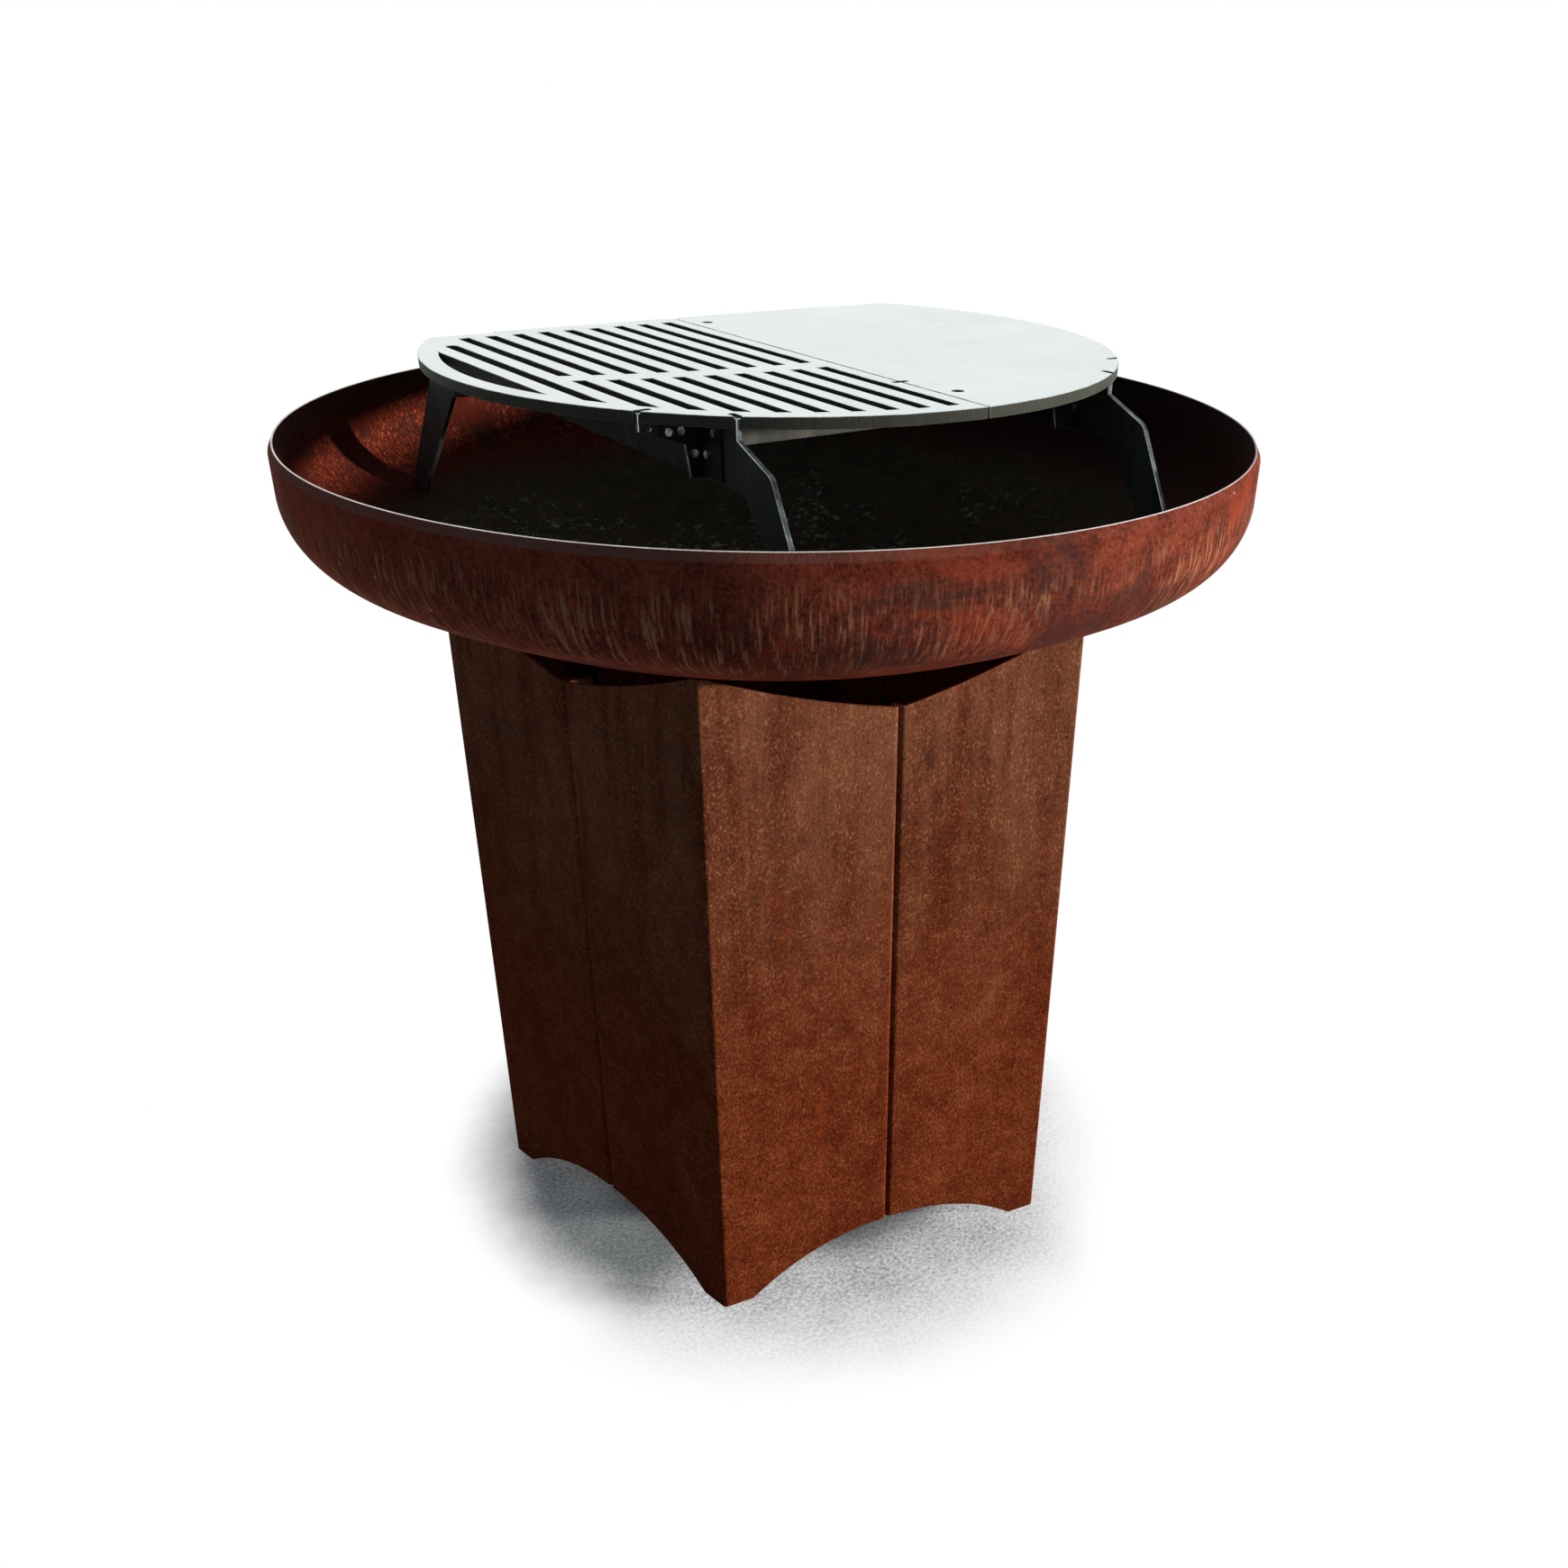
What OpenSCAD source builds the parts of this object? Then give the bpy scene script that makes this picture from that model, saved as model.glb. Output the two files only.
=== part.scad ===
// Fire pit with a two-part grill: a folded steel pedestal, a dished fire bowl,
// a slotted-together grill stand and two lift-off cooking plates.
// Millimetres. Z is up, the ground is z = 0 and the bowl's axis is the Z axis.
// X runs along the plates' straight rear edge, and the plates' seam runs along Y.

/* [Bowl] */
// Outer diameter of the bowl
bowl_d = 1000; // [920:10:1100]
// Wall of the bowl
bowl_wall = 6; // [5:0.5:8]
// Height of the rim above the ground
rim_h = 920; // [800:5:1000]
// Straight part of the wall below the rim
rim_skirt = 45; // [30:1:60]
// Outer radius of the knuckle between the wall and the crown
knuckle_r = 70; // [50:1:90]
// Outer radius of the crown
crown_r = 1000; // [900:10:1200]
// Width of the bevel outside the rim
bevel_w = 4.2; // [2:0.1:4.4]
// Height of the bevel outside the rim
bevel_h = 8; // [4:0.5:12]

/* [Base] */
// Distance from the middle to the folded corners
corner_r = 360; // [330:1:385]
// Sheet of the base panels
panel_t = 4; // [3:0.5:5]
// Inner radius of the folds in the panels
fold_r = 2; // [1.5:0.5:4]
// Depth of the flanges at the seams, measured from the outside
flange_w = 34; // [28:1:45]
// Gap between two flanges that are bolted together
seam_gap = 0.4; // [0.2:0.1:1]
// How far the top edge dips from a corner to a seam
top_dip = 58; // [44:1:66]
// How far the top edge bows below a straight line
top_bow = 5; // [2:0.5:8]
// Flat land on which the bowl rests beside each corner
land_w = 3; // [2:0.5:6]
// Flat foot beside each corner
foot_w = 36; // [20:1:60]
// Rise of the arch between two feet
arch_h = 58; // [30:1:80]
// Turn of the base under the bowl, in degrees
base_turn = 10; // [0:1:30]
// Thread of the base bolts
base_bolt_d = 8; // [6:1:8]
// Distance of the end bolts from the ends of a seam
bolt_inset = 70; // [40:1:120]

/* [Grill stand] */
// Sheet of the stand
sheet_t = 5; // [4:0.5:6]
// Distance of each side sheet from the plates' seam
side_spread = 209; // [202:1:214]
// Depth of the side sheets
side_depth = 50; // [46:1:56]
// Distance of the front beam from the bowl's axis
beam_front = 219; // [200:1:230]
// Depth of the cross beams between the side sheets
beam_depth = 28; // [22:1:34]
// Width of a cross beam's tongue at a side sheet
tongue_w = 40; // [36:1:48]
// Narrowing of the tongue on each side, from top to bottom
tongue_taper = 5; // [2:0.5:6]
// Depth of the front beam beside its tongue
arm_depth = 20; // [18:1:24]
// Depth of the front beam at its end
arm_tip = 7; // [6:0.5:12]
// Outer width of the rear beam, over its folded legs
rear_width = 524; // [516:2:530]
// Inner radius of the folds of the rear beam
rear_fold = 3; // [2:0.5:5]
// Length of the rear beam's tabs beside its folds
rear_tab_w = 50; // [38:1:51]
// How far the side sheets reach behind the plates' straight edge
side_stub = 12; // [8:1:16]
// Length of the tabs that hold the plates at their round edge
tab_w = 12; // [8:1:16]
// Length of the tabs in the plates' seam
seam_tab_w = 14; // [10:1:16]
// How far the tabs stay below the plates' top
tab_sink = 2; // [1:0.5:4]
// Distance from the bowl's outside to the outer corner of each foot
foot_inset = 45; // [42:1:60]
// How far the front knee stands outside the plates' edge
knee_out = 51.5; // [42:0.5:60]
// Height of the front knee above the rim
knee_h = 31; // [22:1:36]
// How far the rear knee stands behind the shoulder of its leg
rear_knee_out = 44; // [43:1:52]
// Height of the rear knee above the rim
rear_knee_h = 42; // [34:1:46]
// Drop of the sheet's end before the shoulder starts
shoulder_drop = 9; // [6:1:14]
// Width of a leg at its inner knee
leg_w = 42; // [36:1:46]
// Width of a front leg at its foot
leg_end_w = 32.5; // [28:0.5:36]
// Width of a rear leg at its foot
rear_end_w = 40.5; // [36:0.5:44]
// Radius of the outer knee
knee_round = 14; // [6:1:20]
// Radius of the front leg's inner knee
crotch_round = 25; // [10:1:35]
// Clearance on each side of a sheet in a crossing slot
lap_gap = 0.2; // [0.1:0.05:0.4]

/* [Corner brackets] */
// Sheet of the brackets
bracket_t = 3; // [2:0.5:4]
// Width of the wing on a side sheet
side_wing = 36; // [34:1:40]
// Reach of the wing along a cross beam
beam_wing = 42; // [41:1:43]
// Distance of a bracket's top and bottom from the sheet's edges
bracket_inset = 2.5; // [1.5:0.5:4]
// Thread of the bracket screws
screw_d = 4; // [3:0.5:4.5]
// Height of the low screws above the sheets' lower edge
low_screw_h = 22; // [20:0.5:24]
// Distance of the top screws from the sheets' upper edge
top_screw_h = 8; // [7:0.5:9]
// Distance of a cross beam's low screw from its bracket's corner
beam_screw_low = 7.6; // [7.2:0.2:8]
// Distance of a cross beam's first top screw from its bracket's corner
beam_screw_near = 20; // [18:0.5:21]
// Distance of a cross beam's second top screw from its bracket's corner
beam_screw_far = 32; // [31:0.5:33]
// Distance of a side sheet's low screw from its bracket's corner
side_screw_low = 11.5; // [11:0.5:13]
// Distance of a side sheet's top screw from its bracket's corner
side_screw_top = 24; // [22:0.5:26]
// Diameter of the spare hole at each end of a cross beam
spare_d = 3.5; // [2:0.5:4]
// Distance of the spare hole from the bracket's end
spare_out = 8.5; // [7:0.5:10]
// Distance of the spare hole from the beam's upper edge
spare_drop = 5; // [4.5:0.5:6]

/* [Plates] */
// Diameter of the two plates together
plate_d = 700; // [680:2:720]
// Thickness of the plates
plate_t = 10; // [8:0.5:12]
// Height of the plates' top above the rim
plate_lift = 70; // [66:1:90]
// Distance of the straight rear edge from the bowl's axis
chord_y = 212; // [200:1:220]
// Radius of the corners beside the straight edge
corner_round = 30; // [20:1:36]
// Gap between the two plates
plate_gap = 2; // [1:0.5:3]
// Clearance on each side of a tab in its notch
notch_gap = 1; // [0.5:0.1:1.5]
// Diameter of the lifting holes
lift_hole_d = 12; // [8:1:16]
// Distance of the lifting holes from the seam
lift_hole_off = 20; // [18:1:40]
// Distance of the rear lifting hole from the straight edge
lift_hole_rear = 43; // [35:1:70]
// Distance of the front lifting hole from the rim
lift_hole_front = 70; // [35:1:80]

/* [Grate slots] */
// Width of a slot
slot_w = 12.2; // [8:0.2:14]
// Distance from one slot to the next
slot_pitch = 29; // [27.6:0.1:29.4]
// Number of slots that the curved web crosses
slot_count = 9; // [7:1:9]
// Solid strip beside the seam
seam_strip = 16.5; // [15:0.5:20]
// Solid strip beside the round edge
rim_strip = 19.5; // [18:0.5:22]
// Solid strip beside the straight edge
chord_strip = 24.5; // [20:0.5:36]
// Distance of the curved web in front of the bowl's axis, at the seam
web_y = 96; // [80:1:130]
// Width of the curved web
web_w = 26; // [16:1:32]
// Radius of the curved web
web_r = 730; // [600:10:900]
// Shortening of the long slot at its rear end
long_slot_cut = 13; // [8:1:60]

/* [Hidden] */
$fn = 180;

// Gap between pieces that rest on each other
seat_gap = 0.3;
// More than enough to cut through
over = 1;

// Bowl: centres and heights of its arcs
knuckle_x = bowl_d / 2 - knuckle_r;
knuckle_z = rim_h - rim_skirt;
crown_z = knuckle_z + sqrt(pow(crown_r - knuckle_r, 2) - pow(knuckle_x, 2));
crown_angle = asin(knuckle_x / (crown_r - knuckle_r));

// Base: a column with five folded corners and a seam in the middle of each side
panel_count = 5;
half_turn = 180 / panel_count;
half_corner = 90 - half_turn;
fold_out = fold_r + panel_t;
side_half = corner_r * sin(half_turn) - seam_gap / 2;
wing_from = fold_out / tan(half_corner);
wing_to = side_half - fold_out;
apothem = corner_r * cos(half_turn);
land_end = wing_from + land_w;
land_r = norm([apothem - panel_t, corner_r * sin(half_turn) - land_end]);
tip_z = crown_z - sqrt(pow(crown_r, 2) - pow(land_r, 2)) - seat_gap;
seam_top = tip_z - top_dip;
arch_r = (pow(wing_to - foot_w, 2) + pow(arch_h, 2)) / (2 * arch_h);
bolt_levels = [arch_h + bolt_inset, (arch_h + seam_top) / 2, seam_top - bolt_inset];
bolt_depth = (fold_out + flange_w) / 2;
bolt_r = apothem - bolt_depth;
washer_t = 1.6;
washer_d = 2 * base_bolt_d;
hole_play = 1;

// Stand: heights and places of its sheets
plate_top = rim_h + plate_lift;
plate_low = plate_top - plate_t;
beam_top = plate_low - seat_gap;
beam_low = beam_top - side_depth;
lap_z = (beam_top + beam_low) / 2;
tab_top = plate_top - tab_sink;
beam_y = [-beam_front, chord_y - sheet_t / 2];
foot_reach = bowl_d / 2 - foot_inset;
foot_z = crown_z - sqrt(pow(crown_r - bowl_wall - seat_gap, 2) - pow(foot_reach, 2));
leg_low = foot_z - foot_inset;
rear_half = rear_width / 2;
rear_face = chord_y - sheet_t;
shoulder_y = chord_y + rear_fold + 1;
lap_w = sheet_t + 2 * lap_gap;

// Plates: the round corners beside the straight edge
plate_r = plate_d / 2;
round_x = sqrt(pow(plate_r - corner_round, 2) - pow(chord_y - corner_round, 2));
round_y = chord_y - corner_round;
beam_end = sqrt(pow(plate_r, 2) - pow(beam_front, 2)) - 1;
slot_r = plate_r - rim_strip;
lift_holes = [
    [lift_hole_off, chord_y - lift_hole_rear],
    [lift_hole_off, lift_hole_front - plate_r]
];

// Brackets and their screws, measured from the corner between two sheets
bracket_low = beam_low + bracket_inset;
bracket_top = beam_top - bracket_inset;
tongue_x = tongue_w / 2 - sheet_t / 2;
arm_x = beam_end - side_spread - sheet_t / 2;
arm_slope = (arm_depth - arm_tip) / (arm_x - tongue_x);
wing_low = beam_top - arm_tip - (arm_x - beam_wing) * arm_slope + 1;
beam_screws = [
    [bracket_t + beam_screw_low, beam_low + low_screw_h],
    [bracket_t + beam_screw_near, beam_top - top_screw_h],
    [bracket_t + beam_screw_far, beam_top - top_screw_h]
];
side_screws = [
    [bracket_t + side_screw_low, beam_low + low_screw_h],
    [bracket_t + side_screw_top, beam_top - top_screw_h]
];
spare_hole = [beam_wing + spare_out, beam_top - spare_drop];

// Unit vector along v
function unit(v) = v / norm(v);

// Angle a brought between -180 and 180
function short_way(a) = a > 180 ? a - 360 : a < -180 ? a + 360 : a;

// Arc of radius r that rounds the corner b between its neighbours a and c
function corner_arc(a, b, c, r, steps = 10) =
    let (
        u = unit(a - b),
        v = unit(c - b),
        half = acos(u * v) / 2,
        mid = b + unit(u + v) * r / sin(half),
        p = b + u * r / tan(half) - mid,
        q = b + v * r / tan(half) - mid,
        from = atan2(p[1], p[0]),
        turn = short_way(atan2(q[1], q[0]) - from)
    )
    [for (i = [0:steps]) mid + r * [cos(from + turn * i / steps), sin(from + turn * i / steps)]];

function flat(p) = [p[0], p[1]];

// Outline through points [x, y, r], each corner rounded by its own radius r
function rounded(points) =
    let (n = len(points))
    [for (i = [0:n - 1])
        let (b = points[i])
        each (b[2] == 0
            ? [flat(b)]
            : corner_arc(flat(points[(i + n - 1) % n]), flat(b), flat(points[(i + 1) % n]), b[2]))];

// One leg, from its shoulder to its inner knee: reach is where the sheet ends under the
// plates, foot where the foot's outer corner stands, and leg holds how far the knee stands
// outside reach, its height above the rim and the leg's width at its foot
function leg_points(reach, foot, leg, inner_round) =
    let (
        knee = reach + leg[0],
        knee_z = rim_h + leg[1],
        crotch = knee - leg_w,
        heel = foot - leg[2],
        below = foot_z - leg_low
    )
    [
        [reach, beam_top - shoulder_drop, 0],
        [knee, knee_z, knee_round],
        [foot + below * (foot - knee) / (knee_z - foot_z), leg_low, 0],
        [heel + below * (heel - crotch) / (beam_low - foot_z), leg_low, 0],
        [crotch, beam_low, inner_round]
    ];

// Where a foot's outer corner stands in a sheet at distance x from the axis
function foot_at(x) = sqrt(pow(foot_reach, 2) - pow(x, 2));

// Where the plates' round edge crosses a sheet at distance x from the axis
function rim_reach(x) = sqrt(pow(plate_r, 2) - pow(x, 2)) - 1;

// Fill of the bowl's outline, moved inwards by inset and up to height top
module bowl_fill(inset, top) {
    far = 2 * crown_r;
    knuckle = knuckle_r - inset;
    translate([0, knuckle_z]) square([knuckle_x + knuckle, top - knuckle_z]);
    intersection() {
        translate([knuckle_x, knuckle_z]) circle(knuckle);
        translate([0, knuckle_z - far]) square([far, far + (top - knuckle_z) / 2]);
    }
    intersection() {
        translate([0, crown_z]) circle(crown_r - inset);
        polygon([
            [0, (knuckle_z + top) / 2],
            [knuckle_x, (knuckle_z + top) / 2],
            [knuckle_x, knuckle_z],
            [knuckle_x + far * sin(crown_angle), knuckle_z - far * cos(crown_angle)],
            [0, knuckle_z - far * cos(crown_angle)]
        ]);
    }
}

// Room inside the bowl, seat_gap away from its wall
module bowl_room() {
    rotate_extrude() bowl_fill(bowl_wall + seat_gap, plate_top);
}

module fire_bowl() {
    color("sienna")
    rotate_extrude()
    difference() {
        bowl_fill(0, rim_h);
        bowl_fill(bowl_wall, rim_h + over);
        polygon([
            [bowl_d / 2 - bevel_w, rim_h],
            [bowl_d / 2 - bevel_w, rim_h + over],
            [bowl_d / 2 + over, rim_h + over],
            [bowl_d / 2 + over, rim_h - bevel_h],
            [bowl_d / 2, rim_h - bevel_h]
        ]);
    }
}

// Fill of half a panel's section, inset from its outer faces and open towards the inside at
// far: X runs from the corner to the seam and Y inwards
module half_fill(inset, far) {
    polygon([
        [wing_from, inset], [wing_to, inset], [wing_to, fold_out],
        [side_half - inset, fold_out], [side_half - inset, far], [wing_from, far]
    ]);
    translate([wing_to, fold_out]) circle(fold_out - inset);
}

// Fill of a whole panel's section, with its rounded corner
module panel_fill(inset, far) {
    on_halves() half_fill(inset, far);
    translate([corner_r - fold_out / sin(half_corner), 0]) circle(fold_out - inset);
}

// What is cut away from half a panel, seen from outside: the room under the arch and the
// room above the bowed top
module outline_cuts() {
    run = wing_to - land_end;
    chord = norm([run, top_dip]);
    bow_r = (pow(chord / 2, 2) + pow(top_bow, 2)) / (2 * top_bow);
    middle = [(land_end + wing_to) / 2, tip_z - top_dip / 2];
    far = 2 * side_half;
    intersection() {
        translate([wing_to, arch_h - arch_r]) circle(arch_r);
        translate([0, -over]) square([wing_to, far]);
    }
    translate([wing_to, -over]) square([far, arch_h + over]);
    intersection() {
        translate(middle + (bow_r - top_bow) * [top_dip, run] / chord) circle(bow_r);
        translate([land_end, seam_top - far]) square([run, 2 * far]);
    }
    translate([wing_to, seam_top]) square([far, far]);
    polygon([
        [land_end, tip_z], [wing_to, seam_top], [wing_to, tip_z + far], [land_end, tip_z + far]
    ]);
}

// Puts its children on both halves of a panel: X runs from the corner to the seam
module on_halves() {
    for (side = [0, 1])
        mirror([0, side, 0])
            translate([corner_r, 0, 0]) rotate(90 + half_turn) children();
}

// Panel with its folded corner, number index of the round
module base_panel(index) {
    color("saddlebrown")
    rotate(base_turn + index * 2 * half_turn)
    difference() {
        linear_extrude(tip_z)
        difference() {
            panel_fill(0, flange_w);
            panel_fill(panel_t, flange_w + over);
        }
        on_halves() {
            translate([0, flange_w + over, 0]) rotate([90, 0, 0])
                linear_extrude(flange_w + 2 * over) outline_cuts();
            for (z = bolt_levels)
                translate([side_half - panel_t - over, bolt_depth, z]) rotate([0, 90, 0])
                    cylinder(h = panel_t + 2 * over, d = base_bolt_d + hole_play);
        }
    }
}

// Puts its children at every seam bolt, with X along the bolt
module at_seam_bolts() {
    for (index = [0:panel_count - 1], z = bolt_levels)
        rotate(base_turn + half_turn + index * 2 * half_turn)
            translate([bolt_r, 0, z]) rotate(90) children();
}

// Hexagon bar along X, from x = 0, as wide across its flats as flats
module hex_bar(flats, length) {
    rotate([0, 90, 0]) rotate(30) cylinder(h = length, d = flats / cos(30), $fn = 6);
}

// Hexagon bolt along X: its head ends at x = 0 and its shank runs to x = length
module bolt(d, length) {
    head_h = 0.65 * d;
    translate([-head_h, 0, 0]) hex_bar(1.6 * d + 0.2, head_h);
    translate([-head_h / 2, 0, 0]) rotate([0, 90, 0]) cylinder(h = length + head_h / 2, d = d);
}

// Hexagon nut along X, from x = 0, for a thread d
module nut(d) {
    nut_h = 0.8 * d;
    difference() {
        hex_bar(1.6 * d + 0.2, nut_h);
        translate([-over, 0, 0]) rotate([0, 90, 0])
            cylinder(h = nut_h + 2 * over, d = d + 0.3);
    }
}

module base_bolts() {
    grip = 2 * panel_t + seam_gap;
    color("dimgray") at_seam_bolts()
        translate([-grip / 2, 0, 0]) bolt(base_bolt_d, grip + washer_t + base_bolt_d);
}

module base_washers() {
    color("gray") at_seam_bolts()
        translate([panel_t + seam_gap / 2, 0, 0]) rotate([0, 90, 0])
            difference() {
                cylinder(h = washer_t, d = washer_d);
                translate([0, 0, -over])
                    cylinder(h = washer_t + 2 * over, d = base_bolt_d + 0.4);
            }
}

module base_nuts() {
    color("dimgray") at_seam_bolts()
        translate([panel_t + seam_gap / 2 + washer_t, 0, 0]) nut(base_bolt_d);
}

// Side sheet of the stand, with a leg at its front end; side is -1 on the left and 1 on
// the right
module stand_side(side) {
    front = rim_reach(side_spread);
    front_points = concat(
        [[front - tab_w, beam_top, 0], [front - tab_w, tab_top, 0], [front, tab_top, 0]],
        leg_points(front, foot_at(side_spread), [knee_out, knee_h, leg_end_w], crotch_round)
    );
    outline = rounded(concat(
        [for (p = front_points) [-p[0], p[1], p[2]]],
        [[chord_y + side_stub, beam_low, 4], [chord_y + side_stub, beam_top, 2]]
    ));
    color("darkslategray")
    intersection() {
        difference() {
            translate([side * side_spread - sheet_t / 2, 0, 0]) rotate([90, 0, 90])
                linear_extrude(sheet_t)
                difference() {
                    polygon(outline);
                    for (y = beam_y)
                        translate([y - lap_w / 2, lap_z]) square([lap_w, side_depth]);
                }
            for (y = beam_y) at_corner(side, y) side_holes();
        }
        bowl_room();
    }
}

// Slots that are open at the bottom, in which the cross beams sit on the side sheets
module lap_slots() {
    for (side = [-1, 1])
        translate([side * side_spread - lap_w / 2, lap_z - side_depth])
            square([lap_w, side_depth]);
}

// Front cross beam, with a tongue at each side sheet and an arm beside it
module stand_beam_front() {
    half = [
        [seam_tab_w / 2, tab_top],
        [seam_tab_w / 2, beam_top],
        [beam_end - tab_w, beam_top],
        [beam_end - tab_w, tab_top],
        [beam_end, tab_top],
        [beam_end, beam_top - arm_tip],
        [side_spread + tongue_w / 2, beam_top - arm_depth],
        [side_spread + tongue_w / 2 - tongue_taper, beam_low],
        [side_spread - tongue_w / 2 + tongue_taper, beam_low],
        [side_spread - tongue_w / 2, beam_top - beam_depth]
    ];
    count = len(half);
    color("darkslategray")
    difference() {
        translate([0, beam_y[0] + sheet_t / 2, 0]) rotate([90, 0, 0])
            linear_extrude(sheet_t)
            difference() {
                polygon(concat(half, [for (i = [1:count]) [-half[count - i][0], half[count - i][1]]]));
                lap_slots();
            }
        for (side = [-1, 1]) at_corner(side, beam_y[0]) beam_holes();
    }
}

// Fill of the rear beam's section, inset from its outer faces and open towards the rear
module rear_fill(inset, far) {
    fold = rear_fold + sheet_t;
    translate([fold - rear_half, rear_face + inset])
        square([rear_width - 2 * fold, far - rear_face - inset]);
    translate([inset - rear_half, rear_face + fold])
        square([rear_width - 2 * inset, far - rear_face - fold]);
    for (side = [-1, 1])
        translate([side * (rear_half - fold), rear_face + fold]) circle(fold - inset);
}

// Rear cross beam, with both ends folded to the rear as legs
module stand_beam_rear() {
    far = foot_reach;
    low_x = side_spread - tongue_w / 2;
    top_x = rear_half - rear_tab_w;
    outline = rounded(concat(
        [[rear_face - over, tab_top, 0], [shoulder_y, tab_top, 0]],
        leg_points(shoulder_y, foot_at(rear_half), [rear_knee_out, rear_knee_h, rear_end_w], 0),
        [[rear_face - over, beam_low, 0]]
    ));
    color("darkslategray")
    intersection() {
        difference() {
            translate([0, 0, leg_low]) linear_extrude(tab_top - leg_low)
                difference() {
                    rear_fill(0, far);
                    rear_fill(sheet_t, far + over);
                }
            translate([0, far, 0]) rotate([90, 0, 0])
                linear_extrude(far) {
                    for (side = [0, 1]) mirror([side, 0, 0])
                        translate([seam_tab_w / 2, beam_top])
                            square([top_x - seam_tab_w / 2, plate_t + over]);
                    polygon([
                        [low_x, beam_top - beam_depth], [low_x + tongue_taper, beam_low],
                        [low_x + tongue_taper, leg_low - over],
                        [-low_x - tongue_taper, leg_low - over],
                        [-low_x - tongue_taper, beam_low], [-low_x, beam_top - beam_depth]
                    ]);
                    lap_slots();
                }
            for (side = [-1, 1]) at_corner(side, beam_y[1]) beam_holes();
        }
        translate([-rear_half - over, 0, 0]) rotate([90, 0, 90])
            linear_extrude(rear_width + 2 * over) polygon(outline);
        bowl_room();
    }
}

// Puts its children at the corner between the outer face of a side sheet and the front
// face of a cross beam, with X pointing outwards and the room of the corner at y < 0
module at_corner(side, y) {
    translate([side * (side_spread + sheet_t / 2), y - sheet_t / 2, 0])
        if (side < 0) mirror([1, 0, 0]) children();
        else children();
}

// Puts its children at the screws through a cross beam, with X along the screw
module at_beam_screws() {
    for (p = beam_screws) translate([p[0], -bracket_t, p[1]]) rotate(90) children();
}

// Puts its children at the screws through a side sheet, with X along the screw
module at_side_screws() {
    for (p = side_screws) translate([bracket_t, -p[0], p[1]]) rotate(180) children();
}

module screw_hole() {
    translate([-over, 0, 0]) rotate([0, 90, 0])
        cylinder(h = bracket_t + sheet_t + 2 * over, d = screw_d + 0.5);
}

module beam_holes() {
    at_beam_screws() screw_hole();
    translate([spare_hole[0], sheet_t + over, spare_hole[1]]) rotate([90, 0, 0])
        cylinder(h = sheet_t + 2 * over, d = spare_d);
}

module side_holes() {
    at_side_screws() screw_hole();
}

// Bracket folded from sheet: one wing on the cross beam and one on the side sheet
module corner_bracket(side, row) {
    low_w = tongue_x - tongue_taper;
    color("black")
    at_corner(side, beam_y[row])
    difference() {
        union() {
            rotate([90, 0, 0]) linear_extrude(bracket_t)
                polygon([
                    [0, bracket_low], [low_w, bracket_low],
                    [tongue_x - 1, beam_top - arm_depth - 1], [beam_wing, wing_low],
                    [beam_wing, bracket_top], [0, bracket_top]
                ]);
            translate([0, -side_wing, bracket_low])
                cube([bracket_t, side_wing, bracket_top - bracket_low]);
        }
        at_beam_screws() screw_hole();
        at_side_screws() screw_hole();
    }
}

// Puts its children at every bracket screw of the stand
module at_all_screws() {
    for (side = [-1, 1], y = beam_y)
        at_corner(side, y) {
            at_beam_screws() children();
            at_side_screws() children();
        }
}

module stand_screws() {
    color("silver") at_all_screws() bolt(screw_d, bracket_t + sheet_t + screw_d);
}

module stand_nuts() {
    color("silver") at_all_screws() translate([bracket_t + sheet_t, 0, 0]) nut(screw_d);
}

// Outline of both plates together: a disc with one straight edge and two round corners
module plates_outline() {
    far = 2 * plate_r;
    difference() {
        circle(plate_r);
        translate([-far, chord_y]) square([2 * far, far]);
        for (side = [-1, 1])
            polygon([
                [side * round_x, round_y], [side * round_x, far], [side * far, far],
                [side * far * round_x / round_y, far] / 2, [side * round_x, round_y] * 2
            ]);
    }
    for (side = [-1, 1]) translate([side * round_x, round_y]) circle(corner_round);
}

// Notch for a tab of length tab along X, with a round end on the far side
module notch(tab) {
    w = sheet_t + 2 * notch_gap;
    reach = tab + 2 * notch_gap;
    translate([0, -w / 2]) square([reach - w / 2, w]);
    translate([reach - w / 2, 0]) circle(w / 2);
}

// Notches for the tabs of the stand, open at the plates' edges
module notches() {
    back = rear_face - notch_gap;
    for (side = [0, 1]) mirror([side, 0]) {
        translate([-beam_end - 2 * over, beam_y[0]]) notch(tab_w + 2 * over);
        translate([side_spread, -rim_reach(side_spread) - 2 * over]) rotate(90)
            notch(tab_w + 2 * over);
        translate([0, beam_y[0]]) notch(seam_tab_w / 2);
        translate([rear_half - rear_tab_w - notch_gap, back]) square([plate_r, chord_y]);
    }
    translate([-seam_tab_w / 2 - notch_gap, back])
        square([seam_tab_w + 2 * notch_gap, chord_y]);
}

// The half of the plates' outline on one side of the seam
module half_outline(side) {
    far = 2 * plate_r;
    from = side * plate_gap / 2;
    difference() {
        intersection() {
            plates_outline();
            translate([side > 0 ? from : from - far, -far / 2]) square([far, far]);
        }
        notches();
    }
}

// Straight strips of the slots, number 0 nearest to the seam
module slot_strips(from, to) {
    for (i = [from:to])
        translate([-seam_strip - i * slot_pitch - slot_w, -plate_r])
            square([slot_w, 2 * plate_r]);
}

// Disc inside which the curved web's front or rear edge lies
module web_disc(y) {
    translate([0, web_r - y]) circle(web_r);
}

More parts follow.
